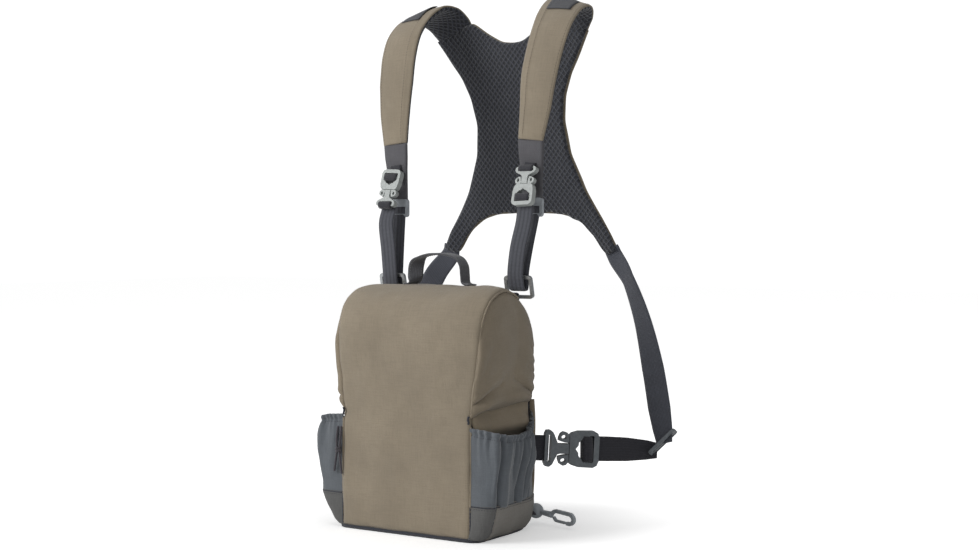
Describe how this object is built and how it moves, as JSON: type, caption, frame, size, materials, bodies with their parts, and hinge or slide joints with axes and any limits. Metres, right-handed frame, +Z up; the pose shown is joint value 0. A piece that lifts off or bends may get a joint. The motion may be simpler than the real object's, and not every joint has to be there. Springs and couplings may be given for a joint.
{
  "type": "binocular harness pack",
  "caption": "Chest pouch for binoculars with a forward-opening lid, two stretch side pockets and a padded four-point harness that clips on with side-release buckles.",
  "frame": {"origin": "middle of the flat underside of the padded base", "axes": "+Z up, +Y from the pouch front towards the wearer, +X towards the wearer's left"},
  "size_m": [0.3554, 0.2246, 0.5136],
  "materials": {
    "tan_fabric": "smooth stretch-woven laminate",
    "mesh_fabric": "three-dimensional spacer mesh",
    "stretch_fabric": "stretch woven",
    "laminate_fabric": "coated reinforcement fabric",
    "base_fabric": "coated base fabric",
    "binding_tape": "folded binding tape",
    "webbing": "ribbed flat webbing",
    "cord": "fine braided elastic cord",
    "light_plastic": "moulded, satin",
    "slate_plastic": "moulded, satin",
    "ring_metal": "satin"
  },
  "bodies": {
    "pouch": {"base_panel": "base_fabric", "base_binding": "binding_tape", "front_panel": "tan_fabric", "side_panel_left": "tan_fabric", "side_panel_right": "tan_fabric", "back_panel": "tan_fabric", "rear_binding": "tan_fabric", "side_pocket_left": "stretch_fabric", "side_pocket_right": "stretch_fabric", "pocket_kick_left": "laminate_fabric", "pocket_kick_right": "laminate_fabric", "drawcord_inner": "cord", "drawcord_outer": "cord", "drawcord_knot": "cord", "ring_tabs": "webbing", "side_tab_left": "webbing", "side_tab_right": "webbing", "side_socket_left": "slate_plastic", "side_socket_right": "slate_plastic", "tether_tab": "webbing", "tether_ball": "slate_plastic"},
    "lid": {"lid_panel": "tan_fabric", "lid_gusset_left": "tan_fabric", "lid_gusset_right": "tan_fabric", "lid_piping": "tan_fabric", "handle_feet": "webbing"},
    "carry_handle": {"handle": "webbing"},
    "harness": {"rings": "ring_metal", "shoulder_web_left": "webbing", "shoulder_web_right": "webbing", "strap_tabs": "laminate_fabric", "strap_loops": "slate_plastic", "buckle_keepers": "webbing", "shoulder_outer_left": "tan_fabric", "shoulder_outer_right": "tan_fabric", "shoulder_mesh_left": "mesh_fabric", "shoulder_mesh_right": "mesh_fabric", "shoulder_patches": "laminate_fabric", "yoke_shell": "tan_fabric", "yoke_mesh": "mesh_fabric", "side_strap_left": "webbing", "side_strap_right": "webbing", "tri_glides": "slate_plastic", "shoulder_socket_left": "light_plastic", "shoulder_plug_right": "light_plastic"},
    "side_plug_left": {"side_plug_left": "slate_plastic"},
    "side_plug_right": {"side_plug_right": "slate_plastic"},
    "shoulder_plug_left": {"shoulder_plug_left": "light_plastic"},
    "shoulder_socket_right": {"shoulder_socket_right": "light_plastic"},
    "snap_hook": {"snap_hook": "slate_plastic"},
    "hook_gate": {"hook_gate": "slate_plastic"},
    "side_arm_a_left": {"side_arm_a_left": "slate_plastic"},
    "side_arm_b_left": {"side_arm_b_left": "slate_plastic"},
    "side_arm_a_right": {"side_arm_a_right": "slate_plastic"},
    "side_arm_b_right": {"side_arm_b_right": "slate_plastic"},
    "shoulder_arm_a_left": {"shoulder_arm_a_left": "light_plastic"},
    "shoulder_arm_b_left": {"shoulder_arm_b_left": "light_plastic"},
    "shoulder_arm_a_right": {"shoulder_arm_a_right": "light_plastic"},
    "shoulder_arm_b_right": {"shoulder_arm_b_right": "light_plastic"}
  },
  "joints": [
    {"name": "lid_hinge", "type": "hinge", "parent": "pouch", "child": "lid", "pos_m": [0, -0.0533, 0.1128], "axis": [1, 0, 0], "range_deg": [0, 100]},
    {"name": "handle_fold", "type": "hinge", "parent": "lid", "child": "carry_handle", "pos_m": [0, 0.004, 0.2356], "axis": [1, 0, 0], "range_deg": [-60, 60]},
    {"name": "harness_swing", "type": "hinge", "parent": "pouch", "child": "harness", "pos_m": [0, 0.03, 0.222], "axis": [1, 0, 0], "range_deg": [0, 28]},
    {"name": "side_release_left", "type": "slide", "parent": "pouch", "child": "side_plug_left", "axis": [0.6681, 0.7421, -0.055], "range_m": [0, 0.016]},
    {"name": "side_release_right", "type": "slide", "parent": "pouch", "child": "side_plug_right", "axis": [-0.6681, 0.7421, -0.055], "range_m": [0, 0.016]},
    {"name": "shoulder_release_left", "type": "slide", "parent": "harness", "child": "shoulder_plug_left", "axis": [0.0398, -0.292, -0.9556], "range_m": [0, 0.0115]},
    {"name": "shoulder_release_right", "type": "slide", "parent": "harness", "child": "shoulder_socket_right", "axis": [-0.0398, -0.292, -0.9556], "range_m": [0, 0.0115]},
    {"name": "side_squeeze_a_left", "type": "hinge", "parent": "side_plug_left", "child": "side_arm_a_left", "pos_m": [0.09988, 0.07569, 0.08349], "axis": [0.7432, -0.6691, 0], "range_deg": [0, 7], "stiffness_Nm_per_rad": 0.02},
    {"name": "side_squeeze_b_left", "type": "hinge", "parent": "side_plug_left", "child": "side_arm_b_left", "pos_m": [0.09927, 0.07502, 0.06712], "axis": [-0.7432, 0.6691, 0], "range_deg": [0, 7], "stiffness_Nm_per_rad": 0.02},
    {"name": "side_squeeze_a_right", "type": "hinge", "parent": "side_plug_right", "child": "side_arm_a_right", "pos_m": [-0.09927, 0.07502, 0.06712], "axis": [-0.7432, -0.6691, 0], "range_deg": [0, 7], "stiffness_Nm_per_rad": 0.02},
    {"name": "side_squeeze_b_right", "type": "hinge", "parent": "side_plug_right", "child": "side_arm_b_right", "pos_m": [-0.09988, 0.07569, 0.08349], "axis": [0.7432, 0.6691, 0], "range_deg": [0, 7], "stiffness_Nm_per_rad": 0.02},
    {"name": "shoulder_squeeze_a_left", "type": "hinge", "parent": "shoulder_plug_left", "child": "shoulder_arm_a_left", "pos_m": [0.0858, 0.03032, 0.32834], "axis": [0, -0.9564, 0.2922], "range_deg": [0, 7], "stiffness_Nm_per_rad": 0.02},
    {"name": "shoulder_squeeze_b_left", "type": "hinge", "parent": "shoulder_plug_left", "child": "shoulder_arm_b_left", "pos_m": [0.07523, 0.03019, 0.32794], "axis": [0, 0.9564, -0.2922], "range_deg": [0, 7], "stiffness_Nm_per_rad": 0.02},
    {"name": "shoulder_squeeze_a_right", "type": "hinge", "parent": "harness", "child": "shoulder_arm_a_right", "pos_m": [-0.08597, 0.02901, 0.32406], "axis": [0, -0.9564, 0.2922], "range_deg": [0, 7], "stiffness_Nm_per_rad": 0.02},
    {"name": "shoulder_squeeze_b_right", "type": "hinge", "parent": "harness", "child": "shoulder_arm_b_right", "pos_m": [-0.0754, 0.02888, 0.32366], "axis": [0, 0.9564, -0.2922], "range_deg": [0, 7], "stiffness_Nm_per_rad": 0.02},
    {"name": "hook_swivel", "type": "hinge", "parent": "pouch", "child": "snap_hook", "pos_m": [0.07366, 0.06967, 0.01222], "axis": [0.9825, -0.1709, -0.0747], "continuous": true},
    {"name": "gate_open", "type": "hinge", "parent": "snap_hook", "child": "hook_gate", "pos_m": [0.08943, 0.06692, 0.00901], "axis": [-0.1713, -0.9852, 0], "range_deg": [0, 18], "stiffness_Nm_per_rad": 0.01}
  ],
  "couplings": [
    {"joint": "side_squeeze_b_left", "follows": "side_squeeze_a_left", "ratio": 1},
    {"joint": "side_squeeze_b_right", "follows": "side_squeeze_a_right", "ratio": 1},
    {"joint": "shoulder_squeeze_b_left", "follows": "shoulder_squeeze_a_left", "ratio": 1},
    {"joint": "shoulder_squeeze_b_right", "follows": "shoulder_squeeze_a_right", "ratio": 1}
  ]
}
